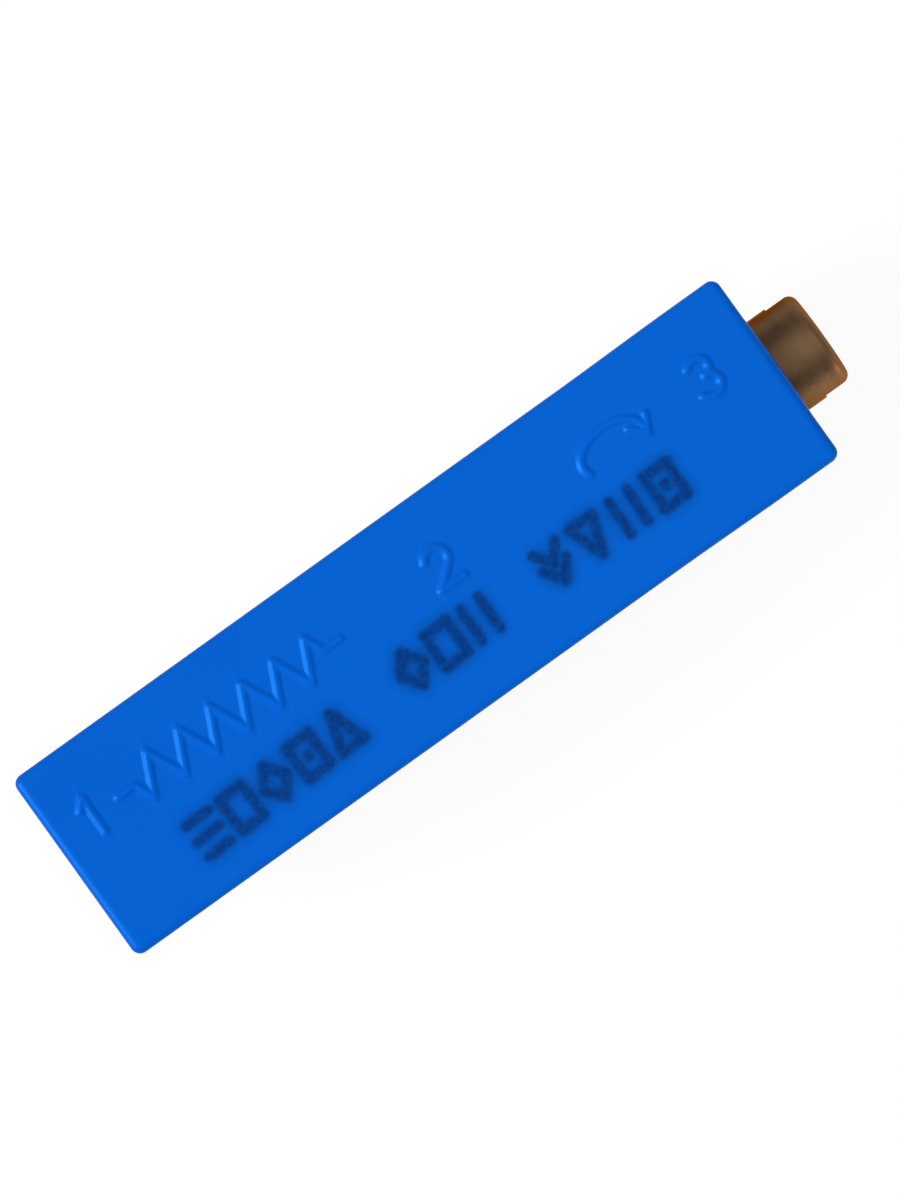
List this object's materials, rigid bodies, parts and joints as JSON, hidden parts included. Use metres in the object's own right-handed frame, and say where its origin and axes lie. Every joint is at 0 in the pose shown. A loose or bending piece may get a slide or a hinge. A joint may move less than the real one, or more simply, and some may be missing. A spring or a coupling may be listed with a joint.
{
  "type": "trimmer potentiometer",
  "caption": "Sealed rectangular multi-turn trimmer potentiometer with a slotted lead screw at one end and through-hole pins underneath.",
  "frame": {"origin": "centre of the seat on the circuit board, midway along and across the housing, at the plane of its corner feet", "axes": "+X along the housing towards the adjusting screw, +Y towards the wiper's pin, +Z away from the board"},
  "size_m": [0.0203, 0.0048, 0.0095],
  "materials": {
    "blue_moulding": "satin",
    "resin": "satin",
    "brass_screw": "dull turned brass",
    "seal_rubber": "matt",
    "keeper_steel": "stamped",
    "nylon": "satin",
    "spring_alloy": "bright",
    "alumina": "matt",
    "resistive_film": "matt",
    "silver_film": "satin",
    "tinned_wire": "tinned",
    "solder": "bright"
  },
  "bodies": {
    "case": {"housing": "blue_moulding", "potting_seal": "resin", "shaft_keeper": "keeper_steel", "ceramic_substrate": "alumina", "resistive_track": "resistive_film", "collector_track": "silver_film", "end_pad_1": "silver_film", "end_pad_3": "silver_film", "pin_1": "tinned_wire", "pin_2": "tinned_wire", "pin_3": "tinned_wire", "solder_1": "solder", "solder_2": "solder", "solder_3": "solder"},
    "screw": {"adjusting_screw": "brass_screw", "shaft_o_ring": "seal_rubber"},
    "slider": {"carriage": "nylon", "wiper_contact": "spring_alloy"}
  },
  "joints": [
    {"name": "screw_turn", "type": "hinge", "parent": "case", "child": "screw", "pos_m": [0.00953, 0, 0.004], "axis": [-1, 0, 0], "range_deg": [-2700, 2700]},
    {"name": "carriage_slide", "type": "slide", "parent": "case", "child": "slider", "axis": [1, 0, 0], "range_m": [-0.00562, 0.00562]}
  ],
  "couplings": [
    {"joint": "screw_turn", "follows": "carriage_slide", "rad_per_m": 8377.6}
  ]
}
